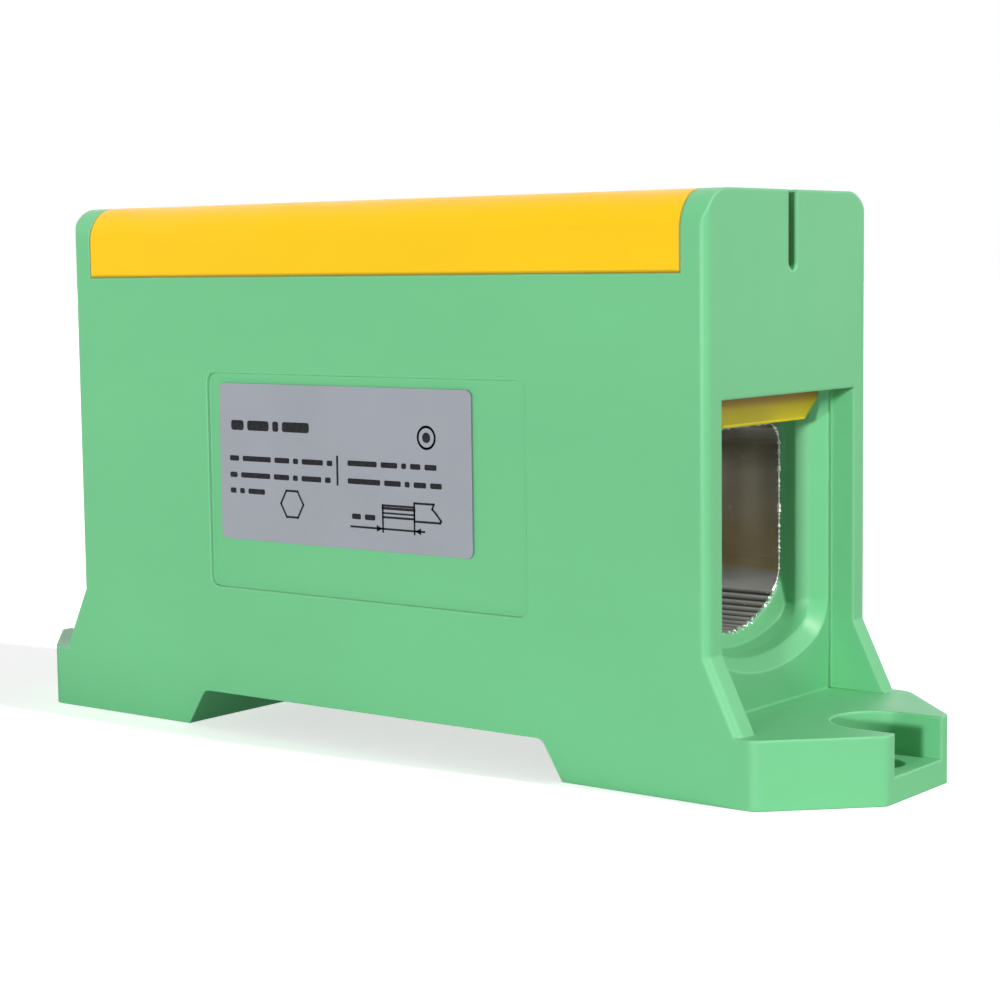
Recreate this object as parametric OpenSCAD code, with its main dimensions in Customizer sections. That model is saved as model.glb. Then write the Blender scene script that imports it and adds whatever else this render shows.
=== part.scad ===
// Earth terminal for one pair of large cables: a moulded housing with screw-down
// feet, a lift-off lid, a through-bored clamp block and four clamp screws.
// X runs along the length, Y across the width, Z up. Z = 0 is the mounting face.

/* [Housing] */
// Length of the body between its two end faces
body_length = 119; // [110:1:135]
// Width of the body
body_width = 42; // [40:1:50]
// Height from the mounting face to the top of the lid
body_height = 80; // [76:1:90]
// Length from the tip of one foot to the tip of the other
overall_length = 158; // [150:1:175]
// Thickness of the long side walls
side_wall = 3.6; // [3:0.1:4.5]
// Thickness of the wall over each cable window
head_wall = 3.9; // [3:0.1:5]
// Radius of the two long top edges
top_edge_r = 5.2; // [3:0.1:8]
// Radius of the upright corner edges
upright_edge_r = 1.2; // [0.5:0.1:2.5]
// Height of the top of the cable window
window_top = 52.6; // [50:0.1:56]
// Height of the floor that the clamp block stands on
block_floor = 14; // [12:0.5:16]

/* [Feet] */
// Height of the upper face of each foot
foot_height = 9.3; // [8:0.1:11]
// Width of the foot at its tip
foot_tip_width = 17; // [15:0.5:20]
// Radius of the upright edge where the foot starts to narrow
foot_shoulder_r = 3; // [1:0.5:5]
// Radius of the upright edges at the foot tip
foot_tip_r = 1.5; // [0.5:0.1:2]
// Height where the gusset starts to leave the end face
gusset_height = 19.3; // [16:0.1:24]
// How far the gusset reaches past the end face
gusset_reach = 4.9; // [3:0.1:7]
// Diameter of the fixing hole in each foot
fixing_hole_d = 6.6; // [5:0.1:7]
// Distance from the foot tip to the fixing hole
fixing_hole_inset = 5.7; // [5:0.1:8]
// Diameter of the sunk seat for the screw head
screw_seat_d = 13.2; // [11:0.1:14]
// Thickness of plastic left under the screw head
screw_seat_floor = 3.5; // [2.5:0.1:5]

/* [Base notch] */
// Length of the notch at the mounting face
notch_length = 72; // [60:1:78]
// Length of the notch at its upper face
notch_top_length = 65; // [52:1:70]
// Height of the notch
notch_height = 5.6; // [4:0.1:7]
// Radius of the notch's inner corners
notch_r = 1.6; // [0.5:0.1:2.5]

/* [Underside pockets] */
// Width of each moulding pocket across the body
pocket_width = 10; // [8:0.5:11]
// Length of each moulding pocket along the body
pocket_length = 10.5; // [9:0.5:11]
// Thickness of the ribs between the pockets
pocket_rib = 1.8; // [1.5:0.1:3]
// Depth of each moulding pocket
pocket_depth = 5.4; // [3:0.1:5.5]

/* [Cable funnel] */
// Width of the funnel's mouth
funnel_width = 33; // [30:0.5:34]
// Height of the lowest point of the funnel's mouth
funnel_bottom = 14.3; // [12:0.1:15]
// Radius of the funnel mouth's shallow floor
funnel_floor_r = 32; // [26:0.5:40]
// Radius of the funnel mouth's lower corners
funnel_corner_r = 6.4; // [5:0.1:8]
// Thickness of the plate that the funnel goes through
plate_thickness = 6.3; // [5:0.1:8]
// Depth and width of the funnel's outer chamfer
funnel_chamfer = 1.85; // [1.2:0.05:2.4]
// Depth of the funnel's steeper inner ring
funnel_ring_depth = 1.8; // [1:0.1:2.5]
// How much narrower the steeper ring gets on each side
funnel_ring_step = 0.9; // [0.3:0.05:1.2]
// How far the funnel's throat sits below the ring's own outline
funnel_throat_drop = 0.5; // [0:0.05:0.8]
// Depth of the steep cove between the throat and the bore
funnel_cove_depth = 1; // [0.6:0.1:1.5]
// Rise of the throat's floor before the cove
funnel_throat_rise = 0.6; // [0.3:0.1:1]
// Height of the top of the plate
plate_top = 60; // [57:0.5:62]

/* [Lid] */
// Height of the lid's side from its lower edge to the top
lid_side = 10.9; // [9:0.1:13]
// Thickness of the lid
lid_wall = 2; // [1.5:0.1:2.5]
// Height of the rim that the lid drops over
rim_height = 2.4; // [1.5:0.1:4]
// Thickness of the lid's end flaps
flap_thickness = 1.6; // [1.2:0.1:1.8]
// Width of each end flap
flap_width = 28.2; // [26:0.1:29]
// Width of the flap's lower edge
flap_tip_width = 21.2; // [16:0.1:24]
// Height of the flap's lower edge
flap_bottom = 48.4; // [48.4:0.1:50]
// Height of the flap's slanted corners
flap_corner = 2.9; // [1:0.1:5]
// Width of the slot in the middle of each head wall
slot_width = 2.4; // [1.5:0.1:4]
// Depth of that slot below the top
slot_depth = 10.8; // [8:0.1:12]
// Sideways place of the slot
slot_side = 0.6; // [-1:0.1:1]
// Thickness of the end wall's face, in front of the pocket behind it
face_wall = 1.5; // [1.2:0.1:2.4]
// Thickness of the end wall's roof over that pocket
face_roof = 1.8; // [1.2:0.1:2.4]
// Free space all round between the lid, block and housing
fit_gap = 0.1; // [0.05:0.01:0.15]

/* [Clamp block] */
// Height of the block's upper face
block_top = 64; // [62:0.5:66]
// Width of the cable bore
bore_width = 27.2; // [24:0.1:28]
// Height of the cable bore's lowest point
bore_bottom = 19.1; // [18:0.1:21]
// Height of the cable bore's roof
bore_roof = 47.6; // [46:0.1:48]
// Radius of the bore's rounded floor
bore_floor_r = 17.6; // [16:0.1:22]
// Radius of the bore's lower corners
bore_corner_r = 4; // [3:0.1:6]
// Radius of the bore's upper corners
bore_roof_r = 3.2; // [2:0.1:5]
// Number of grip grooves along the bore's floor
groove_count = 20; // [12:1:24]
// Angle between neighbouring grip grooves
groove_pitch = 4.2; // [3.5:0.1:5]
// Side of the square cutter that makes each groove
groove_size = 0.85; // [0.5:0.05:1]

/* [Clamp screws] */
// Nominal diameter of the clamp screws
screw_d = 16; // [12:1:16]
// Free space between the backed-off screws and the lid
screw_room = 4; // [3:0.5:8]
// Distance from the middle of the block to the inner screws
inner_screw_x = 15.5; // [14:0.5:17]
// Distance from the middle of the block to the outer screws
outer_screw_x = 36; // [34:0.5:38]
// Width across the flats of the hexagon socket
socket_width = 8; // [6:1:10]
// Depth of the hexagon socket
socket_depth = 9; // [6:0.5:12]
// Chamfer at both ends of each clamp screw
screw_chamfer = 1.2; // [0.8:0.1:2]
// Height of the screw tip above the bore's roof when backed off
screw_lift = 0.4; // [0.2:0.1:1]

/* [Label] */
// Length of the shallow recess for the label
recess_length = 60.6; // [56:0.1:66]
// Height of that recess
recess_height = 32.6; // [30:0.1:34]
// Height of the lower edge of that recess
recess_bottom = 22.1; // [21:0.1:26]
// Depth of that recess
recess_depth = 0.5; // [0.3:0.1:0.8]
// Length of the label
label_length = 48.7; // [44:0.1:52]
// Height of the label
label_height = 23.6; // [22:0.1:25]
// Thickness of the label
label_thickness = 0.4; // [0.2:0.05:0.4]
// Distance from the recess's left edge to the label
label_left = 2.4; // [1:0.1:4]
// Distance from the recess's upper edge to the label
label_down = 1.5; // [1:0.1:4]

/* [Hidden] */
$fn = 96;
end_x = body_length / 2;
side_y = body_width / 2;
tip_x = overall_length / 2;
tip_y = foot_tip_width / 2;
shoulder_x = tip_x - (side_y - tip_y);
inner_y = side_y - side_wall;
head_x = end_x - head_wall;
plate_x = head_x + 0.2;
block_x = plate_x - plate_thickness;
chamfer_x = plate_x - funnel_chamfer;
ring_x = chamfer_x - funnel_ring_depth;
seam_z = body_height - lid_side;
rim_y = side_y - lid_wall - fit_gap;
hole_x = tip_x - fixing_hole_inset;
block_y = inner_y - fit_gap;
bore_y = bore_width / 2;
lid_x = head_x - fit_gap;
flap_x = lid_x - flap_thickness;
screw_r = screw_d / 2 - 0.05;
screw_z = bore_roof + screw_lift;
screw_length = body_height - lid_wall - screw_room - screw_z;
groove_z = bore_bottom + bore_floor_r;
funnel_y = funnel_width / 2;
funnel_z = funnel_bottom + funnel_floor_r;
// centre of the funnel's lower corner arcs
corner_y = funnel_y - funnel_corner_r;
corner_z = funnel_z - sqrt(pow(funnel_floor_r - funnel_corner_r, 2) - pow(corner_y, 2));
cut = 1;

housing_green = [0.36, 0.75, 0.47];
lid_yellow = [0.98, 0.80, 0.08];
block_metal = [0.72, 0.72, 0.72];
screw_metal = [0.60, 0.61, 0.63];
label_grey = [0.63, 0.65, 0.69];

// ---- flat shapes -------------------------------------------------------------

function unit(v) = v / norm(v);
function turn_half(a, p, b) = acos(unit(a - p) * unit(b - p)) / 2;
function tangent_point(a, p, b, r) = p + unit(a - p) * r / tan(turn_half(a, p, b));
function corner_centre(a, p, b, r) =
    p + unit(unit(a - p) + unit(b - p)) * r / sin(turn_half(a, p, b));

// a convex outline whose corners have their own radii; proud lets the corner arcs
// stand a hair past the straight sides, so that they cross them cleanly
module rounded_outline(points, radii, proud = 0) {
    n = len(points);
    polygon([for (i = [0 : n - 1]) for (k = [0, 1])
        let (a = points[(i + n - 1) % n], p = points[i], b = points[(i + 1) % n])
        radii[i] == 0 ? p : k == 0 ? tangent_point(a, p, b, radii[i])
                                   : tangent_point(b, p, a, radii[i])]);
    for (i = [0 : n - 1])
        if (radii[i] > 0)
            translate(corner_centre(points[(i + n - 1) % n], points[i],
                                    points[(i + 1) % n], radii[i]))
                circle(r = radii[i] + proud);
}

module rounded_panel(length, height, r) {
    rounded_outline([[0, 0], [length, 0], [length, height], [0, height]], [r, r, r, r]);
}

// section across the body above a given height, with Y to the right and Z up
module body_section(inset, bottom) {
    y = side_y - inset;
    top = body_height - inset;
    r = top_edge_r - inset;
    intersection() {
        rounded_outline([[-y, 0], [y, 0], [y, top], [-y, top]], [0, 0, r, r]);
        translate([-body_width, bottom]) square([2 * body_width, body_height]);
    }
}

// outline of the feet seen from above
module foot_plan() {
    rounded_outline([[tip_x, -tip_y], [tip_x, tip_y], [shoulder_x, side_y],
                     [-shoulder_x, side_y], [-tip_x, tip_y], [-tip_x, -tip_y],
                     [-shoulder_x, -side_y], [shoulder_x, -side_y]],
                    [foot_tip_r, foot_tip_r, foot_shoulder_r, foot_shoulder_r,
                     foot_tip_r, foot_tip_r, foot_shoulder_r, foot_shoulder_r]);
}

// opening of the cable bore, drawn with Y to the right and Z up
module bore_outline(roof, roof_r) {
    low_y = bore_y - bore_corner_r;
    low_z = groove_z - sqrt(pow(bore_floor_r - bore_corner_r, 2) - pow(low_y, 2));
    reach = bore_floor_r / (bore_floor_r - bore_corner_r);
    rounded_outline([[-bore_y, low_z], [bore_y, low_z], [bore_y, roof], [-bore_y, roof]],
                    [0, 0, roof_r, roof_r]);
    for (y = [-low_y, low_y])
        translate([y, low_z]) circle(r = bore_corner_r);
    intersection() {
        translate([0, groove_z]) circle(r = bore_floor_r);
        polygon([[0, groove_z],
                 [-low_y * reach * 1.5, groove_z + (low_z - groove_z) * reach * 1.5],
                 [low_y * reach * 1.5, groove_z + (low_z - groove_z) * reach * 1.5]]);
    }
}

// ---- placing helpers ---------------------------------------------------------

// stands a flat YZ drawing up and gives it a length along X
module along_x(x0, x1) {
    translate([x0, 0, 0]) rotate([90, 0, 90]) linear_extrude(x1 - x0) children();
}

// stands a flat XZ drawing up and gives it a width along Y
module along_y(y0, y1) {
    translate([0, y1, 0]) rotate([90, 0, 0]) linear_extrude(y1 - y0) children();
}

module both_ends() {
    children();
    mirror([1, 0, 0]) children();
}

// ---- housing -----------------------------------------------------------------

// the body's outline seen from above, with its small upright edges in short flats
module upright_outline() {
    steps = 6;
    r = upright_edge_r;
    polygon([for (quarter = [0 : 3]) for (i = [0 : steps])
        let (a = 90 * (quarter + i / steps),
             cx = (quarter == 0 || quarter == 3 ? 1 : -1) * (end_x - r),
             cy = (quarter < 2 ? 1 : -1) * (side_y - r))
        [cx + r * cos(a), cy + r * sin(a)]]);
}

// the body above the gussets, with rounded top edges
module upper_blank() {
    intersection() {
        along_x(-tip_x, tip_x) body_section(0, gusset_height - cut);
        translate([0, 0, gusset_height])
            linear_extrude(body_height - gusset_height + cut) upright_outline();
    }
}

// the lower body, whose ends lean out into the gussets
module gusset_blank() {
    spread = (end_x + gusset_reach) / end_x;
    translate([0, 0, gusset_height]) mirror([0, 0, 1])
        linear_extrude(gusset_height - foot_height, scale = [spread, 1], slices = 1)
            upright_outline();
}

module housing_blank() {
    upper_blank();
    gusset_blank();
    linear_extrude(foot_height) foot_plan();
}

// the funnel's outline at a given inset, drawn with Y to the right and Z up
module funnel_outline(inset) {
    wedge = 1.3 * funnel_floor_r / (funnel_floor_r - funnel_corner_r);
    translate([-funnel_y + inset, corner_z])
        square([2 * (funnel_y - inset), plate_top + cut - corner_z]);
    for (y = [-corner_y, corner_y])
        translate([y, corner_z]) circle(r = funnel_corner_r - inset);
    intersection() {
        translate([0, funnel_z]) circle(r = funnel_floor_r - inset);
        polygon([[0, funnel_z],
                 [-corner_y * wedge, funnel_z + (corner_z - funnel_z) * wedge],
                 [corner_y * wedge, funnel_z + (corner_z - funnel_z) * wedge]]);
    }
}

// one ring of the funnel: every edge moves in from inset0 to inset1
module funnel_ring(x0, x1, inset0, inset1) {
    skin = 0.01;
    hull() {
        along_x(x0, x0 + skin) funnel_outline(inset0);
        along_x(x1, x1 + skin) funnel_outline(inset1);
    }
}

// the funnel's throat, raised by a given height
module throat_outline(lift = 0) {
    translate([0, lift - funnel_throat_drop])
        funnel_outline(funnel_chamfer + funnel_ring_step);
}

// the way in for the cable: a chamfer, a steeper ring, a throat, then a cove that climbs
// to the bore
module funnel_cut() {
    skin = 0.01;
    cove_x = block_x + funnel_cove_depth;
    funnel_ring(plate_x, chamfer_x, 0, funnel_chamfer);
    hull() {
        along_x(chamfer_x, chamfer_x + skin) funnel_outline(funnel_chamfer);
        along_x(ring_x, ring_x + skin) throat_outline();
    }
    hull() {
        along_x(ring_x, ring_x + skin) throat_outline();
        along_x(cove_x, cove_x + skin) throat_outline(funnel_throat_rise);
        along_x(block_x - skin, block_x) bore_outline(plate_top + cut, 0);
    }
}

module window_cut() {
    translate([plate_x, -inner_y, foot_height])
        cube([tip_x, 2 * inner_y, window_top - foot_height]);
}

module slot_cut() {
    r = slot_width / 2;
    translate([head_x - cut, slot_side - r, body_height - slot_depth + r])
        cube([head_wall + 2 * cut, slot_width, slot_depth + cut]);
    translate([head_x - cut, slot_side, body_height - slot_depth + r])
        rotate([0, 90, 0]) cylinder(r = r, h = head_wall + 2 * cut);
}

// the hollow behind the end wall's face
module face_pocket() {
    translate([head_x - cut, -inner_y, plate_top])
        cube([head_wall - face_wall + cut, 2 * inner_y, body_height - face_roof - plate_top]);
}

module fixing_cut() {
    translate([hole_x, 0, -cut]) cylinder(d = fixing_hole_d, h = foot_height + 2 * cut);
    translate([hole_x, 0, screw_seat_floor])
        cylinder(d = screw_seat_d, h = foot_height);
    translate([hole_x, -screw_seat_d / 2, screw_seat_floor])
        cube([tip_x, screw_seat_d, foot_height]);
}

module notch_cut() {
    slope = (notch_length - notch_top_length) / 2 / notch_height;
    along_y(-side_y - cut, side_y + cut)
        rounded_outline([[-notch_length / 2 - slope * cut, -cut],
                         [notch_length / 2 + slope * cut, -cut],
                         [notch_top_length / 2, notch_height],
                         [-notch_top_length / 2, notch_height]],
                        [0, 0, notch_r, notch_r], 0.003);
}

// moulding pockets: a row of five over the notch and two at each end
module pocket_cuts() {
    step_x = pocket_length + pocket_rib;
    step_y = pocket_width + pocket_rib;
    for (j = [-1 : 1]) {
        for (i = [-2 : 2])
            translate([i * step_x - pocket_length / 2, j * step_y - pocket_width / 2,
                       notch_height - cut])
                cube([pocket_length, pocket_width, pocket_depth + cut]);
        for (i = [0, 1]) both_ends()
            translate([notch_length / 2 + 2.4 + i * step_x,
                       j * step_y - pocket_width / 2, -cut])
                cube([pocket_length, pocket_width, pocket_depth + cut]);
    }
}

module recess_cut() {
    along_y(-side_y - cut, -side_y + recess_depth)
        translate([-recess_length / 2, recess_bottom])
            rounded_panel(recess_length, recess_height, 1.5);
}

// room for the clamp block, the flaps and the lid, open at the top
module inner_cut() {
    translate([-block_x, -inner_y, block_floor])
        cube([2 * block_x, 2 * inner_y, body_height]);
    translate([-head_x, -inner_y, plate_top])
        cube([2 * head_x, 2 * inner_y, body_height]);
    translate([-head_x, -side_y - cut, seam_z + rim_height])
        cube([2 * head_x, body_width + 2 * cut, body_height]);
    for (sy = [0, 1]) mirror([0, sy, 0])
        translate([-head_x, rim_y, seam_z]) cube([2 * head_x, side_y, body_height]);
}

module housing() color(housing_green) {
    difference() {
        housing_blank();
        inner_cut();
        both_ends() {
            window_cut();
            funnel_cut();
            slot_cut();
            face_pocket();
            fixing_cut();
        }
        notch_cut();
        pocket_cuts();
        recess_cut();
    }
}

// ---- lid ---------------------------------------------------------------------

// one end of the lid: a full end wall that narrows into the hanging flap
module lid_end() {
    tab_y = inner_y - fit_gap;
    rim_top = seam_z + rim_height + fit_gap;
    wide_bottom = plate_top + 2;
    along_x(flap_x, lid_x) {
        body_section(0, rim_top);
        polygon([[-tab_y, wide_bottom], [-flap_width / 2, wide_bottom],
                 [-flap_width / 2, flap_bottom + flap_corner],
                 [-flap_tip_width / 2, flap_bottom], [flap_tip_width / 2, flap_bottom],
                 [flap_width / 2, flap_bottom + flap_corner],
                 [flap_width / 2, wide_bottom], [tab_y, wide_bottom],
                 [tab_y, rim_top + 1], [-tab_y, rim_top + 1]]);
    }
}

module lid() color(lid_yellow) {
    along_x(-lid_x, lid_x) difference() {
        body_section(0, seam_z);
        body_section(lid_wall, seam_z - cut);
    }
    both_ends() lid_end();
}

// ---- clamp block -------------------------------------------------------------

module block_section() {
    difference() {
        translate([-block_y, block_floor])
            rounded_panel(2 * block_y, block_top - block_floor, 1);
        bore_outline(bore_roof, bore_roof_r);
        for (i = [0 : groove_count - 1])
            translate([0, groove_z])
                rotate([0, 0, (i - (groove_count - 1) / 2) * groove_pitch])
                    translate([0, -bore_floor_r]) rotate([0, 0, 45])
                        square(groove_size, center = true);
    }
}

module clamp_block() color(block_metal) {
    difference() {
        along_x(-block_x, block_x) block_section();
        for (x = [-outer_screw_x, -inner_screw_x, inner_screw_x, outer_screw_x])
            translate([x, 0, bore_roof - cut])
                cylinder(d = screw_d, h = block_top - bore_roof + 2 * cut);
    }
}

// ---- clamp screws ------------------------------------------------------------

module clamp_screw(x) color(screw_metal) {
    body = screw_length - 2 * screw_chamfer;
    translate([x, 0, screw_z]) difference() {
        union() {
            cylinder(r1 = screw_r - screw_chamfer, r2 = screw_r, h = screw_chamfer);
            translate([0, 0, screw_chamfer]) cylinder(r = screw_r, h = body);
            translate([0, 0, screw_chamfer + body])
                cylinder(r1 = screw_r, r2 = screw_r - screw_chamfer, h = screw_chamfer);
        }
        translate([0, 0, screw_length - socket_depth])
            cylinder(d = socket_width / cos(30), h = socket_depth + cut, $fn = 6);
    }
}

module clamp_screw_1() clamp_screw(-outer_screw_x);
module clamp_screw_2() clamp_screw(-inner_screw_x);
module clamp_screw_3() clamp_screw(inner_screw_x);
module clamp_screw_4() clamp_screw(outer_screw_x);

// ---- label -------------------------------------------------------------------

module rating_label() color(label_grey) {
    back = -side_y + recess_depth;
    along_y(back - label_thickness, back)
        translate([-recess_length / 2 + label_left,
                   recess_bottom + recess_height - label_down - label_height])
            rounded_panel(label_length, label_height, 1);
}

// ---- parts list --------------------------------------------------------------

housing();
lid();
clamp_block();
clamp_screw_1();
clamp_screw_2();
clamp_screw_3();
clamp_screw_4();
rating_label();
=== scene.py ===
"""Looks of the earth terminal: a green moulded housing with a yellow snap-on lid, a grooved
aluminium clamp block behind its cable funnels, four threaded clamp screws and a grey label.

The CAD nodes carry the form. This script adds the fine work round them: moulded-plastic, metal
and foil materials, the threads of the clamp screws, the burred rim of the bore, the flash line
under the lid and the plain marks on the label. Lengths are in metres.
"""

import math
import random

import bmesh
import bpy
from mathutils import Matrix, Vector


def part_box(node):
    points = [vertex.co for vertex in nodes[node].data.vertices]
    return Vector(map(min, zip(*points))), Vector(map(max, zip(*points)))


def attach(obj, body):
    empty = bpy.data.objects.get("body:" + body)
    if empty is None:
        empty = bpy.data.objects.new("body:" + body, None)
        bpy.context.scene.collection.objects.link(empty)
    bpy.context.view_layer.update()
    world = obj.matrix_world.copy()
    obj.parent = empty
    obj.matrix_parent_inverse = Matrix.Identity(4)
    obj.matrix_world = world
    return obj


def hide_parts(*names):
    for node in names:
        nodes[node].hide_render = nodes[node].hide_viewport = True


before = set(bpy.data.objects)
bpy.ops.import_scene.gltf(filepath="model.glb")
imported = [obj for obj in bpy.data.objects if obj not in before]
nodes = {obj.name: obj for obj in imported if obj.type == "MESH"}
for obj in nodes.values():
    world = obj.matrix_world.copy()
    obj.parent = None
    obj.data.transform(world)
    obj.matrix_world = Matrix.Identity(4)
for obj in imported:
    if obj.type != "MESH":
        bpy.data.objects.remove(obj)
bpy.context.view_layer.update()

MM = 0.001

housing_low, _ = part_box("housing")
lid_low, lid_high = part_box("lid")
block_low, block_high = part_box("clamp_block")
label_low, label_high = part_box("rating_label")
SCREWS = ["clamp_screw_1", "clamp_screw_2", "clamp_screw_3", "clamp_screw_4"]

# colours, linear
WHITE = (1.0, 1.0, 1.0)
GREEN = (0.140, 0.510, 0.230)
# the paler green: a painted highlight along rounded edges
GREEN_EDGE_HIGHLIGHT = (0.240, 0.700, 0.360)
YELLOW = (0.950, 0.575, 0.003)
# the paler yellow: a painted highlight along rounded edges
YELLOW_EDGE_HIGHLIGHT = (0.960, 0.680, 0.060)
# painted shade along the lid's joint with the housing
PAINTED_JOINT_SHADE = (0.230, 0.170, 0.010)
FOIL = (0.315, 0.335, 0.378)
INK = (0.012, 0.012, 0.014)
BURR = (0.960, 0.960, 0.955)
STEEL = (0.420, 0.420, 0.430)
FLOOR = (0.860, 0.860, 0.855)


# ---- node helpers -------------------------------------------------------------------------


def new_material(name):
    """An empty node material with a Principled shader wired to its output."""
    material = bpy.data.materials.new(name)
    material.use_nodes = True
    tree = material.node_tree
    tree.nodes.clear()
    output = tree.nodes.new("ShaderNodeOutputMaterial")
    shader = tree.nodes.new("ShaderNodeBsdfPrincipled")
    tree.links.new(shader.outputs["BSDF"], output.inputs["Surface"])
    return material, tree, shader


def coordinates(tree, stretch=(1, 1, 1)):
    """Object coordinates in metres, scaled by stretch."""
    source = tree.nodes.new("ShaderNodeTexCoord")
    mapping = tree.nodes.new("ShaderNodeMapping")
    mapping.inputs["Scale"].default_value = stretch
    tree.links.new(source.outputs["Object"], mapping.inputs["Vector"])
    return mapping.outputs["Vector"]


def axes(tree, where):
    """The X, Y and Z sockets of a place."""
    split = tree.nodes.new("ShaderNodeSeparateXYZ")
    tree.links.new(where, split.inputs[0])
    return split.outputs["X"], split.outputs["Y"], split.outputs["Z"]


def noise(tree, where, scale, detail, roughness):
    """Soft noise from 0 to 1."""
    node = tree.nodes.new("ShaderNodeTexNoise")
    node.inputs["Scale"].default_value = scale
    node.inputs["Detail"].default_value = detail
    node.inputs["Roughness"].default_value = roughness
    tree.links.new(where, node.inputs["Vector"])
    return node.outputs["Fac"]


def ramp(tree, value, stops):
    """A colour ramp through (position, colour) stops."""
    node = tree.nodes.new("ShaderNodeValToRGB")
    elements = node.color_ramp.elements
    while len(elements) < len(stops):
        elements.new(0.5)
    for element, (position, colour) in zip(elements, stops):
        element.position = position
        element.color = (*colour, 1)
    tree.links.new(value, node.inputs["Fac"])
    return node.outputs["Color"]


def shade(colour, factor):
    """A colour made lighter or darker, no channel above one."""
    return tuple(min(1.0, c * factor) for c in colour)


def mottle(tree, value, colour, first, last, stops=(0.3, 0.7)):
    """A colour that goes from one shade of itself to another as a noise value rises."""
    return ramp(tree, value, [(stops[0], shade(colour, first)), (stops[1], shade(colour, last))])


def spread(tree, value, source, target, smooth=False):
    """Moves a value from the range source to the range target, clamped."""
    node = tree.nodes.new("ShaderNodeMapRange")
    node.interpolation_type = "SMOOTHSTEP" if smooth else "LINEAR"
    sockets = ("From Min", "From Max", "To Min", "To Max")
    for socket, number in zip(sockets, (*source, *target)):
        node.inputs[socket].default_value = number
    tree.links.new(value, node.inputs["Value"])
    return node.outputs["Result"]


def mix(tree, factor, a, b):
    """Mixes a into b by a factor socket; a and b are colour sockets or tuples."""
    node = tree.nodes.new("ShaderNodeMix")
    node.data_type = "RGBA"
    tree.links.new(factor, node.inputs[0])
    for colour, socket in ((a, node.inputs[6]), (b, node.inputs[7])):
        if isinstance(colour, tuple):
            socket.default_value = (*colour, 1)
        else:
            tree.links.new(colour, socket)
    return node.outputs[2]


def combine(tree, operation, *values):
    """A Math node over one or two sockets."""
    node = tree.nodes.new("ShaderNodeMath")
    node.operation = operation
    for value, socket in zip(values, node.inputs):
        tree.links.new(value, socket)
    return node.outputs[0]


def round_edges(tree, radius, samples=6):
    """A surface normal that rounds edges off by a radius."""
    node = tree.nodes.new("ShaderNodeBevel")
    node.samples = samples
    node.inputs["Radius"].default_value = radius
    return node.outputs["Normal"]


def edge_mask(tree, rounded, most):
    """Zero on open faces, rising to most along rounded edges."""
    geometry = tree.nodes.new("ShaderNodeNewGeometry")
    dot = tree.nodes.new("ShaderNodeVectorMath")
    dot.operation = "DOT_PRODUCT"
    tree.links.new(geometry.outputs["Normal"], dot.inputs[0])
    tree.links.new(rounded, dot.inputs[1])
    return spread(tree, dot.outputs["Value"], (0.995, 0.88), (0, most))


def crease_mask(tree, reach, samples=6):
    """Mask of painted shade: one on open faces, falling to zero deep in an inner corner or a
    joint.
    """
    node = tree.nodes.new("ShaderNodeAmbientOcclusion")
    node.samples = samples
    node.inputs["Distance"].default_value = reach
    return spread(tree, node.outputs["AO"], (0.35, 0.85), (0, 1))


def bump(tree, height, distance, strength, normal):
    """Adds a fine relief to a surface normal."""
    node = tree.nodes.new("ShaderNodeBump")
    node.inputs["Distance"].default_value = distance
    node.inputs["Strength"].default_value = strength
    tree.links.new(height, node.inputs["Height"])
    tree.links.new(normal, node.inputs["Normal"])
    return node.outputs["Normal"]


# ---- places read off the CAD meshes -------------------------------------------------------

WELD = 0.001 * MM


def bore_rim(side):
    """The ordered rim of the bore on one end face of the clamp block."""
    face_x = block_high.x if side > 0 else block_low.x
    bm = bmesh.new()
    bm.from_mesh(nodes["clamp_block"].data)
    bmesh.ops.remove_doubles(bm, verts=bm.verts, dist=WELD)
    neighbours = {}
    for edge in bm.edges:
        if any(abs(v.co.x - face_x) > WELD for v in edge.verts):
            continue
        flat = [abs(f.normal.x) > 0.99 for f in edge.link_faces]
        if len(flat) == 2 and flat[0] != flat[1]:
            a, b = edge.verts
            neighbours.setdefault(a.index, []).append(b.index)
            neighbours.setdefault(b.index, []).append(a.index)
    bm.verts.ensure_lookup_table()
    places = {i: bm.verts[i].co.copy() for i in neighbours}
    bm.free()
    # the block's outline and the bore both end on this face: the bore is the narrower loop
    loops = []
    unused = set(neighbours)
    while unused:
        start = here = min(unused)
        loop, previous = [], None
        while here is not None:
            unused.discard(here)
            loop.append(places[here])
            onward = [n for n in neighbours[here] if n != previous and (n in unused or n == start)]
            previous, here = here, (onward[0] if onward and onward[0] != start else None)
        loops.append(loop)
    return min(loops, key=lambda loop: max(p.y for p in loop) - min(p.y for p in loop))


def bore_heights():
    """Heights of the bore's lowest groove root and of its roof."""
    heights = [p.z for p in bore_rim(1)]
    return min(heights), max(heights)


def lid_seam():
    """Height of the lid's lower edge on the long sides."""
    reach = lid_high.y - 0.01 * MM
    return min(v.co.z for v in nodes["lid"].data.vertices if v.co.y > reach)


# ---- plastic ------------------------------------------------------------------------------

# tones of painted shade and painted green bounce light on the lid's flaps, from their lower edge
# up, at shares of the lid's height, the height under which they hold and the band over which they
# fade in
FLAP_PAINTED_SHADE = [(0.02, (0.840, 0.680, 0.004)), (0.07, (0.740, 0.550, 0.004)),
              (0.10, (0.420, 0.215, 0.004)), (0.13, (0.280, 0.115, 0.004))]
FLAP_TOP = 60 * MM
FLAP_FADE = 3 * MM

# the fine line of painted shade round the lid's joint: where it starts and is full, measured in
# from the lid's end and side and up from its lower edge, and how strong it is
END_LINE, END_LINE_STRENGTH = (0.26 * MM, 0.06 * MM), 0.55
SIDE_BAND = (1.0 * MM, 0.4 * MM)
LOW_LINE, LOW_LINE_STRENGTH = (0.55 * MM, 0.12 * MM), 0.85

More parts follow.
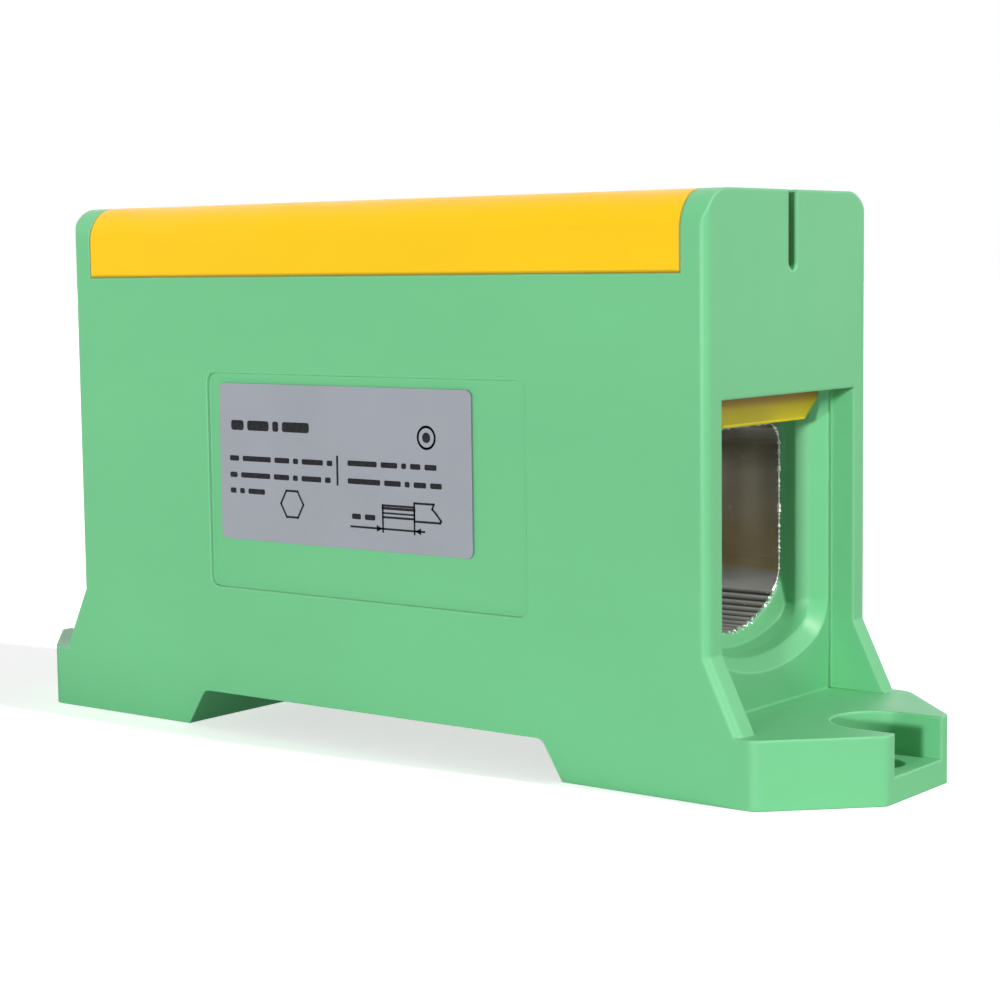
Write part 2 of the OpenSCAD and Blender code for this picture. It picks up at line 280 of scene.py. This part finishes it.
# painted highlight along rounded edges: how much of the paler colour it mixes in at most
EDGE_HIGHLIGHT_STRENGTH = 0.80
# painted shade in inner corners and joints: how far it reaches and how dark it paints
CREASE_REACH = 0.22 * MM
CREASE_SHADE = 0.90
PLASTIC_IOR = 1.50


def lid_painted_shade(tree, body):
    """Painted shade and green bounce light on the flaps; a fine painted shade line on the lid's
    joint with the housing.
    """
    x, y, z = axes(tree, coordinates(tree))
    x, y = combine(tree, "ABSOLUTE", x), combine(tree, "ABSOLUTE", y)
    seam = lid_seam()
    above = spread(tree, z, (FLAP_TOP - FLAP_FADE, FLAP_TOP), (0, 1))
    height = spread(tree, z, (lid_low.z, lid_high.z), (0, 1))
    # painted shade and painted green bounce light on the flaps, below the flaps' top
    body = mix(tree, above, ramp(tree, height, FLAP_PAINTED_SHADE), body)
    end = spread(tree, x, [lid_high.x - inset for inset in END_LINE], (0, END_LINE_STRENGTH))
    side = spread(tree, y, [lid_high.y - inset for inset in SIDE_BAND], (0, 1))
    low = spread(tree, z, [seam + rise for rise in LOW_LINE], (0, LOW_LINE_STRENGTH))
    # a fine line of painted shade along the joint at the lid's ends and lower edge
    end_line = combine(tree, "MULTIPLY", end, above)
    low_line = combine(tree, "MULTIPLY", side, low)
    return mix(tree, combine(tree, "MAXIMUM", end_line, low_line), body, PAINTED_JOINT_SHADE)


def moulded_plastic(name, colour, edge_highlight, edge_radius, gloss, mirror, tones=None):
    """Satin moulded plastic: faint flow clouds, orange-peel skin, painted edge highlight and
    crease shade.
    """
    material, tree, shader = new_material(name)
    flow = coordinates(tree, stretch=(0.35, 1, 1))
    clouds = noise(tree, flow, scale=38, detail=3, roughness=0.55)
    body = mottle(tree, clouds, colour, 0.965, 1.03)
    rounded = round_edges(tree, edge_radius)
    # painted highlight: the paler colour along rounded edges
    body = mix(tree, edge_mask(tree, rounded, EDGE_HIGHLIGHT_STRENGTH), body, edge_highlight)
    if tones is not None:
        body = tones(tree, body)
    # painted shade deep in inner corners and joints
    body = mix(tree, crease_mask(tree, CREASE_REACH), shade(colour, CREASE_SHADE), body)
    tree.links.new(body, shader.inputs["Base Color"])
    drawn = coordinates(tree, stretch=(1, 1, 0.4))
    smears = noise(tree, drawn, scale=90, detail=4, roughness=0.6)
    dullness = spread(tree, smears, (0.3, 0.7), (gloss - 0.05, gloss + 0.07))
    tree.links.new(dullness, shader.inputs["Roughness"])
    peel = noise(tree, coordinates(tree), scale=620, detail=2, roughness=0.5)
    skin = bump(tree, peel, distance=0.02 * MM, strength=0.35, normal=rounded)
    tree.links.new(skin, shader.inputs["Normal"])
    shader.inputs["IOR"].default_value = PLASTIC_IOR
    shader.inputs["Specular IOR Level"].default_value = mirror
    return material


# ---- metal --------------------------------------------------------------------------------

# cable bore: radius of its round floor, and how far the grooves' roots lie under that floor
BORE_FLOOR_RADIUS = 17.6 * MM
GROOVE_DEPTH = 0.6 * MM
# depths under the floor between which a groove darkens to the painted shade of its root
GROOVE_SHADING = (0.08 * MM, 0.75 * GROOVE_DEPTH)
GROOVE_ROOT_SHADE = (0.16, 0.16, 0.15)
# painted reflections and shade on the bore from its floor up to its roof, in the dull and in the
# bright patches
BORE_DIM_REFLECTIONS = [(0.16, (0.89, 0.89, 0.89)), (0.24, (0.84, 0.84, 0.83)), (0.28, (0.66, 0.57, 0.34)),
             (0.42, (0.68, 0.61, 0.44)), (0.54, (0.70, 0.69, 0.67)), (0.74, (0.64, 0.63, 0.60)),
             (0.88, (0.36, 0.35, 0.31)), (0.96, (0.68, 0.67, 0.64))]
BORE_BRIGHT_REFLECTIONS = [(0.16, (1.00, 1.00, 1.00)), (0.24, (0.98, 0.98, 0.98)), (0.28, (0.80, 0.70, 0.46)),
               (0.42, (0.84, 0.77, 0.60)), (0.54, (1.00, 0.99, 0.98)), (0.74, (0.96, 0.95, 0.92)),
               (0.88, (0.46, 0.45, 0.40)), (0.96, (0.90, 0.89, 0.87))]
# shares of the bore's height where the dull floor ends and the smoother wall begins
FLOOR_TO_WALL = (0.18, 0.34)
FLOOR_ROUGHNESS, WALL_ROUGHNESS = 0.50, 0.27
# noise values between which a grain of swarf shows
SWARF = (0.74, 0.77)


def groove_mask(tree, where, floor_z):
    """Mask of painted shade: zero on the bore's wall and the crests of its floor, one in the
    grooves' roots.
    """
    x, _, _ = axes(tree, where)
    centre = tree.nodes.new("ShaderNodeCombineXYZ")
    tree.links.new(x, centre.inputs["X"])
    centre.inputs["Z"].default_value = floor_z + GROOVE_DEPTH + BORE_FLOOR_RADIUS
    reach = tree.nodes.new("ShaderNodeVectorMath")
    reach.operation = "DISTANCE"
    tree.links.new(where, reach.inputs[0])
    tree.links.new(centre.outputs[0], reach.inputs[1])
    depths = [BORE_FLOOR_RADIUS + depth for depth in GROOVE_SHADING]
    return spread(tree, reach.outputs["Value"], depths, (0, 1))


def extruded_metal():
    """Extruded aluminium: bright crests and painted shade in groove roots, painted reflections on
    cloudy walls, swarf.
    """
    material, tree, shader = new_material("block_aluminium")
    where = coordinates(tree)
    low, high = bore_heights()
    height = spread(tree, axes(tree, where)[2], (low, high), (0, 1))
    upright = coordinates(tree, stretch=(1, 1, 0.30))
    clouds = noise(tree, upright, scale=150, detail=0, roughness=0.45)
    patches = spread(tree, clouds, (0.36, 0.66), (0, 1), smooth=True)
    # painted reflections and painted shade up the bore's walls, brighter in the patches
    wall = mix(tree, patches, ramp(tree, height, BORE_DIM_REFLECTIONS), ramp(tree, height, BORE_BRIGHT_REFLECTIONS))
    # painted shade in the roots of the grooves
    body = mix(tree, groove_mask(tree, where, low), wall, GROOVE_ROOT_SHADE)
    dust = noise(tree, where, scale=1500, detail=1, roughness=0.4)
    body = mix(tree, spread(tree, dust, SWARF, (0, 1)), body, WHITE)
    tree.links.new(body, shader.inputs["Base Color"])
    dullness = spread(tree, height, FLOOR_TO_WALL, (FLOOR_ROUGHNESS, WALL_ROUGHNESS), smooth=True)
    tree.links.new(dullness, shader.inputs["Roughness"])
    lengthways = coordinates(tree, stretch=(0.04, 1, 1))
    drawn = noise(tree, lengthways, scale=900, detail=3, roughness=0.6)
    rounded = round_edges(tree, 0.04 * MM, samples=4)
    skin = bump(tree, drawn, distance=0.004 * MM, strength=0.3, normal=rounded)
    tree.links.new(skin, shader.inputs["Normal"])
    shader.inputs["Metallic"].default_value = 1.0
    return material


def bright_metal(name, colour, lay, roughness, edge_radius):
    """Metal with fine machining lines that run along the axis given small in lay."""
    material, tree, shader = new_material(name)
    lines = noise(tree, coordinates(tree, lay), scale=1500, detail=5, roughness=0.65)
    patches = noise(tree, coordinates(tree), scale=160, detail=3, roughness=0.6)
    tint = mottle(tree, patches, colour, 0.78, 1.08, stops=(0.30, 0.72))
    tree.links.new(tint, shader.inputs["Base Color"])
    dullness = spread(tree, lines, (0.3, 0.7), (roughness - 0.06, roughness + 0.1))
    tree.links.new(dullness, shader.inputs["Roughness"])
    rounded = round_edges(tree, edge_radius, samples=4)
    skin = bump(tree, lines, distance=0.01 * MM, strength=0.3, normal=rounded)
    tree.links.new(skin, shader.inputs["Normal"])
    shader.inputs["Metallic"].default_value = 1.0
    return material


# ---- label film and ink -------------------------------------------------------------------


def foil_film():
    """The label's metallised film: satin grey with a fine sideways grain."""
    material, tree, shader = new_material("label_foil")
    grained = coordinates(tree, stretch=(1, 1, 9))
    grain = noise(tree, grained, scale=420, detail=4, roughness=0.6)
    clouds = noise(tree, coordinates(tree), scale=70, detail=2, roughness=0.5)
    tree.links.new(mottle(tree, clouds, FOIL, 0.96, 1.03), shader.inputs["Base Color"])
    tree.links.new(spread(tree, grain, (0.3, 0.7), (0.36, 0.48)), shader.inputs["Roughness"])
    rounded = round_edges(tree, 0.12 * MM, samples=4)
    skin = bump(tree, grain, distance=0.01 * MM, strength=0.25, normal=rounded)
    tree.links.new(skin, shader.inputs["Normal"])
    shader.inputs["Metallic"].default_value = 0.15
    return material


def print_ink():
    """Screen-printed black, starved in places."""
    material, tree, shader = new_material("label_ink")
    starved = noise(tree, coordinates(tree), scale=2600, detail=3, roughness=0.6)
    tint = mottle(tree, starved, INK, 2.0, 1.0, stops=(0.35, 0.55))
    tree.links.new(tint, shader.inputs["Base Color"])
    tree.links.new(spread(tree, starved, (0.3, 0.7), (0.42, 0.56)), shader.inputs["Roughness"])
    shader.inputs["Specular IOR Level"].default_value = 0.12
    return material


# ---- materials on the CAD nodes -----------------------------------------------------------

green_plastic = moulded_plastic("green_moulding", GREEN, GREEN_EDGE_HIGHLIGHT, edge_radius=0.6 * MM,
                                gloss=0.47, mirror=0.50)
yellow_plastic = moulded_plastic("yellow_moulding", YELLOW, YELLOW_EDGE_HIGHLIGHT, edge_radius=0.6 * MM,
                                 gloss=0.40, mirror=0.28, tones=lid_painted_shade)
block_metal = extruded_metal()
burr_metal = bright_metal("burred_aluminium", BURR, lay=(1, 1, 1), roughness=0.45,
                          edge_radius=0.03 * MM)
screw_metal = bright_metal("screw_steel", STEEL, lay=(1, 1, 0.05), roughness=0.30,
                           edge_radius=0.08 * MM)
label_film = foil_film()
label_ink = print_ink()


def dress(name, material):
    """Gives a carried-over CAD node its procedural material."""
    node = nodes[name]
    node.data.materials.clear()
    node.data.materials.append(material)


dress("housing", green_plastic)
dress("lid", yellow_plastic)
dress("clamp_block", block_metal)
dress("rating_label", label_film)


# ---- mesh helpers -------------------------------------------------------------------------


def finish_mesh(name, bm, material, body, smooth_below=None):
    """Turns a bmesh into a piece on a body. Faces that meet under smooth_below shade smooth."""
    bmesh.ops.recalc_face_normals(bm, faces=bm.faces)
    if smooth_below is not None:
        for face in bm.faces:
            face.smooth = True
        for edge in bm.edges:
            if len(edge.link_faces) == 2 and edge.calc_face_angle() > smooth_below:
                edge.smooth = False
    mesh = bpy.data.meshes.new(name)
    bm.to_mesh(mesh)
    bm.free()
    mesh.materials.append(material)
    piece = bpy.data.objects.new(name, mesh)
    bpy.context.scene.collection.objects.link(piece)
    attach(piece, body)
    return piece


def skin_rings(bm, rings, around):
    """Joins rows of vertices with quads; around closes each row into a ring."""
    columns = len(rings[0])
    for here, there in zip(rings, rings[1:]):
        for i in range(columns if around else columns - 1):
            j = (i + 1) % columns
            bm.faces.new((here[i], here[j], there[j], there[i]))


# ---- clamp screws -------------------------------------------------------------------------

THREAD_PITCH = 2.0 * MM
THREAD_DEPTH = 1.05 * MM
# shares of half a pitch that the crest's flat and the flank take
THREAD_CREST = 0.12
THREAD_FLANK = 0.72
THREAD_COLUMNS = 48
THREAD_ROWS_PER_TURN = 8
THREAD_RELIEF = 0.02 * MM
SCREW_CHAMFER = 1.2 * MM
# the middle of the screw's tip closes in a small face, a share of the screw's radius
TIP_CENTRE = 0.05
SOCKET_FLATS = 8.0 * MM
SOCKET_MOUTH = 0.5 * MM
SOCKET_DEPTH = 9.0 * MM
# the drilled cone under the socket: its depth and the radius of its point
SOCKET_CONE = 1.5 * MM
SOCKET_POINT = 0.1 * MM
SCREW_SMOOTH_BELOW = math.radians(38)


def thread_radius(z, angle, crest):
    """Radius of a 60 degree thread with flat crests and roots."""
    phase = (z / THREAD_PITCH - angle / math.tau) % 1.0
    rise = abs(phase - 0.5) * 2
    return crest - THREAD_DEPTH * min(1.0, max(0.0, (rise - THREAD_CREST) / THREAD_FLANK))


def clamp_screw(name, body):
    """A threaded grub screw with a hexagon socket, in place of its plain CAD cylinder."""
    low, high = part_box(name)
    x, y = (low.x + high.x) / 2, (low.y + high.y) / 2
    crest = (high.x - low.x) / 2 - THREAD_RELIEF
    angles = [math.tau * i / THREAD_COLUMNS for i in range(THREAD_COLUMNS)]
    bm = bmesh.new()

    def ring(z, radius_at):
        return [bm.verts.new((x + radius_at(a) * math.cos(a), y + radius_at(a) * math.sin(a), z))
                for a in angles]

    def hexagon(a):
        return SOCKET_FLATS / 2 / math.cos((a + math.pi / 6) % (math.pi / 3) - math.pi / 6)

    rings = [ring(low.z, lambda a: crest * TIP_CENTRE),
             ring(low.z, lambda a: crest - SCREW_CHAMFER - THREAD_DEPTH / 2)]
    rows = round((high.z - low.z) / THREAD_PITCH * THREAD_ROWS_PER_TURN)
    for i in range(1, rows):
        z = low.z + (high.z - low.z) * i / rows
        cone = crest - SCREW_CHAMFER + min(z - low.z, high.z - z)
        rings.append(ring(z, lambda a: min(cone, thread_radius(z, a, crest))))
    rings.append(ring(high.z, lambda a: crest - SCREW_CHAMFER - THREAD_DEPTH / 2))
    rings.append(ring(high.z, lambda a: hexagon(a) + SOCKET_MOUTH))
    rings.append(ring(high.z - SOCKET_MOUTH, hexagon))
    rings.append(ring(high.z - SOCKET_DEPTH, hexagon))
    rings.append(ring(high.z - SOCKET_DEPTH - SOCKET_CONE, lambda a: SOCKET_POINT))
    skin_rings(bm, rings, around=True)
    bm.faces.new(rings[0][::-1])
    bm.faces.new(rings[-1])
    piece = finish_mesh(name + "_threaded", bm, screw_metal, body,
                        SCREW_SMOOTH_BELOW)
    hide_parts(name)


for screw_name in SCREWS:
    clamp_screw(screw_name, screw_name.replace("clamp_screw", "screw"))


# ---- burred rim of the bore ---------------------------------------------------------------

BURR_STEP = 0.24 * MM
BURR_SIZE = 0.20 * MM
# shares of that size: the smallest burr, how much a large one adds and how far one leans
BURR_LEAST = 0.25
BURR_GROWTH = 1.6
BURR_LEAN = (-0.3, 0.5)
# the lip's section: shares of its size towards the bore's middle and out of the block, and the
# share of its lean towards the bore's middle
BURR_SECTION = [(-0.6, -0.2, 0.0), (0.0, 1.2, 0.4), (0.7, 0.3, 0.5), (0.25, -1.0, 0.0)]


def even_steps(loop, step):
    """The same closed path in short even steps."""
    points = []
    for a, b in zip(loop, loop[1:] + loop[:1]):
        count = max(1, round((b - a).length / step))
        points += [a.lerp(b, i / count) for i in range(count)]
    return points


def burr(name, side, rng):
    """A thin ragged lip of raised metal round the rim of the bore."""
    path = even_steps(bore_rim(side), BURR_STEP)
    centre = sum(path, Vector()) / len(path)
    out = Vector((side, 0, 0))
    bm = bmesh.new()
    rings = []
    for point in path:
        inward = Vector((0, centre.y - point.y, centre.z - point.z)).normalized()
        size = BURR_SIZE * (BURR_LEAST + BURR_GROWTH * rng.random() ** 3)
        lean = BURR_SIZE * rng.uniform(*BURR_LEAN)
        rings.append([bm.verts.new(point + inward * (size * a + lean * c) + out * size * b)
                      for a, b, c in BURR_SECTION])
    skin_rings(bm, rings + rings[:1], around=True)
    return finish_mesh(name, bm, burr_metal, "base")


burr("bore_burr_right", 1, random.Random(11))
burr("bore_burr_left", -1, random.Random(12))


# ---- flash line under the lid -------------------------------------------------------------

FLASH_STEP = 0.8 * MM
FLASH_HEIGHT = 0.20 * MM
FLASH_STAND = 0.12 * MM
FLASH_ROOT = 0.05 * MM
# how the fin swells along its run: its start, its change at each step and its bounds
SWELL_START = 0.6
SWELL_CHANGE = 0.22
SWELL_LEAST, SWELL_MOST = 0.15, 1.3
SPIKE_CHANCE = 0.03
SPIKE_GROWTH = 1.7
# the fin's section: the share of its stand or, at its two roots, of FLASH_ROOT into the lid,
# and the share of its height above the seam
FLASH_SECTION = [(0.0, 1.0, 1.4), (0.8, 0.0, 0.8), (1.0, 0.0, 0.05), (0.0, 1.0, -0.15)]
FLASH_SMOOTH_BELOW = math.radians(60)


def flash_line(name, side, rng):
    """A thin ragged fin of moulding flash along the lid's lower edge."""
    seam = lid_seam()
    face_y = side * lid_high.y
    length = lid_high.x - lid_low.x
    count = round(length / FLASH_STEP)
    bm = bmesh.new()
    rings = []
    swell = SWELL_START
    for i in range(count + 1):
        x = lid_low.x + length * i / count
        change = rng.uniform(-SWELL_CHANGE, SWELL_CHANGE)
        swell = min(SWELL_MOST, max(SWELL_LEAST, swell + change))
        spike = SPIKE_GROWTH if rng.random() < SPIKE_CHANCE else 1.0
        tall = FLASH_HEIGHT * (0.5 + 0.5 * swell) * spike
        proud = FLASH_STAND * swell * spike
        rings.append([bm.verts.new((x, face_y + side * (proud * a - FLASH_ROOT * b),
                                    seam + tall * c)) for a, b, c in FLASH_SECTION])
    skin_rings(bm, rings, around=False)
    for ring in (rings[0], rings[-1]):
        bm.faces.new(ring)
    return finish_mesh(name, bm, yellow_plastic, "base", FLASH_SMOOTH_BELOW)


flash_line("lid_flash_front", -1, random.Random(21))
flash_line("lid_flash_back", 1, random.Random(22))


# ---- marks on the label -------------------------------------------------------------------

# Places and widths here are in millimetres, right of and below the label's top-left corner.
INK_RISE = 0.02 * MM
STROKE = 0.32
DASH_GAP = 0.75
DASH_ROUNDING = 0.55
# rows of plain dashes: left end, distance from the label's top, height, lengths of the dashes
DASH_ROWS = [
    (2.4, 6.3, 1.50, [2.6, 4.4, 1.2, 5.4]),
    (2.0, 11.3, 0.80, [1.9, 5.8, 3.0, 1.0, 4.2, 1.1]),
    (2.0, 13.8, 0.80, [1.5, 6.0, 3.1, 1.0, 3.9, 1.1]),
    (2.0, 16.2, 0.80, [1.2, 1.0, 3.4]),
    (25.7, 11.1, 0.80, [5.6, 3.1, 0.9, 1.9, 2.2]),
    (25.7, 13.7, 0.80, [6.2, 3.1, 0.9, 2.3, 2.1]),
    (26.4, 18.8, 0.80, [1.7, 2.0]),
]
# the rule between the two columns: its ends and its width
RULE = ((23.7, 10.3), (23.7, 14.3), 0.38)
# key size: centre and radius of the hexagon
KEY = ((14.6, 17.7), 2.25)
# a cable's section: centre, radius of the ring and of the core, and the ring's width
CABLE_SECTION = ((40.6, 6.9), 1.55, 0.75, 0.34)
# the stripped cable: its block, two strands across that, its sheath and the measure under it
BLOCK_OUTLINE = [(32.3, 20.7), (32.3, 16.9), (38.2, 16.9), (38.2, 18.6), (32.3, 18.6)]
STRANDS = [((32.3, 17.3), (38.2, 17.3), 0.40), ((32.3, 18.0), (38.2, 18.0), 0.26)]
SHEATH_OUTLINE = [(38.2, 20.7), (38.2, 16.3), (41.8, 16.3), (41.5, 17.0), (42.3, 17.7),
                  (43.1, 18.6), (42.9, 18.9), (38.2, 18.9)]
MEASURE = ((26.2, 20.3), (40.0, 20.3), 0.30)
ARROW_HEADS = [[(32.2, 20.3), (31.1, 19.8), (31.1, 20.8)],
               [(38.3, 20.3), (39.4, 20.8), (39.4, 19.8)]]


def mark(bm, points):
    """One flat inked area."""
    left, face, top = label_low.x, label_low.y - INK_RISE, label_high.z
    bm.faces.new([bm.verts.new((left + x * MM, face, top - z * MM)) for x, z in points])


def bar(bm, start, end, width=STROKE):
    """A straight stroke between two points."""
    a, b = Vector(start), Vector(end)
    along = (b - a).normalized() * width / 2
    across = Vector((-along.y, along.x))
    a, b = a - along, b + along
    mark(bm, [a - across, b - across, b + across, a + across])


def chain(bm, points, closed=False, width=STROKE):
    """Strokes from point to point."""
    for start, end in zip(points, points[1:] + points[:1] if closed else points[1:]):
        bar(bm, start, end, width)


def arc(centre, radius, angles):
    """Points round a centre at angles in degrees."""
    return [(centre[0] + radius * math.cos(math.radians(angle)),
             centre[1] + radius * math.sin(math.radians(angle))) for angle in angles]


def circle(centre, radius, count):
    """Points spaced evenly round a centre."""
    return arc(centre, radius, [360 * i / count for i in range(count)])


def rounded_dash(bm, x, z, length, height):
    """A dash with round ends, standing for a piece of print."""
    r = min(height, length) / 2 * DASH_ROUNDING
    left, right = x + r, x + length - r
    top, bottom = z - height / 2 + r, z + height / 2 - r
    corners = [((right, top), -90), ((right, bottom), 0), ((left, bottom), 90), ((left, top), 180)]
    mark(bm, [point for centre, start in corners
              for point in arc(centre, r, range(start, start + 91, 30))])


def label_marks():
    """Plain dashes, a rule, a hexagon, a cable's section and a stripped cable end."""
    bm = bmesh.new()
    for x, z, height, lengths in DASH_ROWS:
        for length in lengths:
            rounded_dash(bm, x, z, length, height)
            x += length + DASH_GAP
    bar(bm, *RULE)
    chain(bm, circle(*KEY, count=6), closed=True)
    centre, ring_radius, core_radius, ring_width = CABLE_SECTION
    chain(bm, circle(centre, ring_radius, count=28), closed=True, width=ring_width)
    mark(bm, circle(centre, core_radius, count=20))
    chain(bm, BLOCK_OUTLINE)
    for strand in STRANDS:
        bar(bm, *strand)
    chain(bm, SHEATH_OUTLINE)
    bar(bm, *MEASURE)
    for head in ARROW_HEADS:
        mark(bm, head)
    return finish_mesh("label_marks", bm, label_ink, "base")


label_marks()


# ---- floor, light and camera --------------------------------------------------------------

FLOOR_REACH = 6.0
FLOOR_GAP = 0.05 * MM
FLOOR_GLOW = 0.60
LAMP_DISTANCE = 2.0

# set up to look along the long side from the right-hand end; angles in degrees
CAMERA_PLACE = (0.219366, -0.269641, 0.070492)
CAMERA_AZIMUTH = 37.90
CAMERA_ELEVATION = 5.85
CAMERA_ROLL = -0.71
CAMERA_LENS = 82.84
CAMERA_CLIP = (0.01, 50)

# light is mirrored many times along the bore
GLOSSY_BOUNCES = 12
MAX_BOUNCES = 16


def direction(azimuth, elevation):
    """Unit vector from the object towards a lamp or the camera; azimuth runs from -Y to +X."""
    a, e = math.radians(azimuth), math.radians(elevation)
    return Vector((math.sin(a) * math.cos(e), -math.cos(a) * math.cos(e), math.sin(e)))


def studio_floor():
    """A wide flat pale floor that glows a little for the camera alone, as a white sweep does."""
    material, tree, shader = new_material("studio_floor")
    tone = noise(tree, coordinates(tree), scale=6, detail=2, roughness=0.5)
    tree.links.new(mottle(tree, tone, FLOOR, 0.99, 1.0), shader.inputs["Base Color"])
    shader.inputs["Roughness"].default_value = 0.75
    shader.inputs["Emission Color"].default_value = (*WHITE, 1)
    path = tree.nodes.new("ShaderNodeLightPath")
    glow = spread(tree, path.outputs["Is Camera Ray"], (0, 1), (0, FLOOR_GLOW))
    tree.links.new(glow, shader.inputs["Emission Strength"])
    bm = bmesh.new()
    corners = [(-1, -1), (1, -1), (1, 1), (-1, 1)]
    bm.faces.new([bm.verts.new((x * FLOOR_REACH, y * FLOOR_REACH, housing_low.z - FLOOR_GAP))
                  for x, y in corners])
    mesh = bpy.data.meshes.new("floor")
    bm.to_mesh(mesh)
    bm.free()
    mesh.materials.append(material)
    floor = bpy.data.objects.new("floor", mesh)
    bpy.context.scene.collection.objects.link(floor)


def studio_lamp(name, azimuth, elevation, strength, softness, tint):
    """A broad soft lamp far off; softness is the angle in degrees that it fills."""
    back = direction(azimuth, elevation)
    light = bpy.data.lights.new(name, "SUN")
    light.energy = strength
    light.color = tint
    light.angle = math.radians(softness)
    lamp = bpy.data.objects.new(name, light)
    lamp.location = back * LAMP_DISTANCE
    lamp.rotation_mode = "QUATERNION"
    lamp.rotation_quaternion = (-back).to_track_quat("-Z", "Y")
    bpy.context.scene.collection.objects.link(lamp)


def white_surround(glow, sheen, backdrop):
    """An even surround: glow lights the object, gloss mirrors sheen, the camera sees backdrop."""
    world = bpy.data.worlds.new("surround")
    world.use_nodes = True
    tree = world.node_tree
    lit = tree.nodes["Background"]
    lit.inputs["Color"].default_value = (*WHITE, 1)
    seen = tree.nodes.new("ShaderNodeBackground")
    seen.inputs["Color"].default_value = (*WHITE, 1)
    seen.inputs["Strength"].default_value = backdrop
    path = tree.nodes.new("ShaderNodeLightPath")
    strength = spread(tree, path.outputs["Is Glossy Ray"], (0, 1), (glow, sheen))
    tree.links.new(strength, lit.inputs["Strength"])
    choice = tree.nodes.new("ShaderNodeMixShader")
    tree.links.new(path.outputs["Is Camera Ray"], choice.inputs[0])
    tree.links.new(lit.outputs[0], choice.inputs[1])
    tree.links.new(seen.outputs[0], choice.inputs[2])
    tree.links.new(choice.outputs[0], tree.nodes["World Output"].inputs["Surface"])
    bpy.context.scene.world = world


def camera():
    """The camera, at the photograph's viewing angle."""
    azimuth, roll = math.radians(CAMERA_AZIMUTH), math.radians(CAMERA_ROLL)
    back = direction(CAMERA_AZIMUTH, CAMERA_ELEVATION)
    right = Vector((math.cos(azimuth), math.sin(azimuth), 0))
    up = back.cross(right)
    rolled_right = right * math.cos(roll) + up * math.sin(roll)
    rolled_up = up * math.cos(roll) - right * math.sin(roll)
    data = bpy.data.cameras.new("camera")
    data.lens = CAMERA_LENS
    data.clip_start, data.clip_end = CAMERA_CLIP
    view = bpy.data.objects.new("camera", data)
    bpy.context.scene.collection.objects.link(view)
    turn = Matrix((rolled_right, rolled_up, back)).transposed().to_4x4()
    view.matrix_world = Matrix.Translation(CAMERA_PLACE) @ turn
    bpy.context.scene.camera = view


studio_floor()
studio_lamp("lamp_right", azimuth=96, elevation=44, strength=2.18, softness=2.5,
            tint=(1.0, 0.93, 0.93))
studio_lamp("lamp_left", azimuth=12, elevation=7, strength=2.06, softness=4.5,
            tint=(0.98, 1.0, 1.0))
white_surround(glow=0.14, sheen=1.6, backdrop=1.0)
bpy.context.scene.cycles.glossy_bounces = GLOSSY_BOUNCES
bpy.context.scene.cycles.max_bounces = MAX_BOUNCES
camera()
bpy.context.scene.view_settings.view_transform = "Standard"
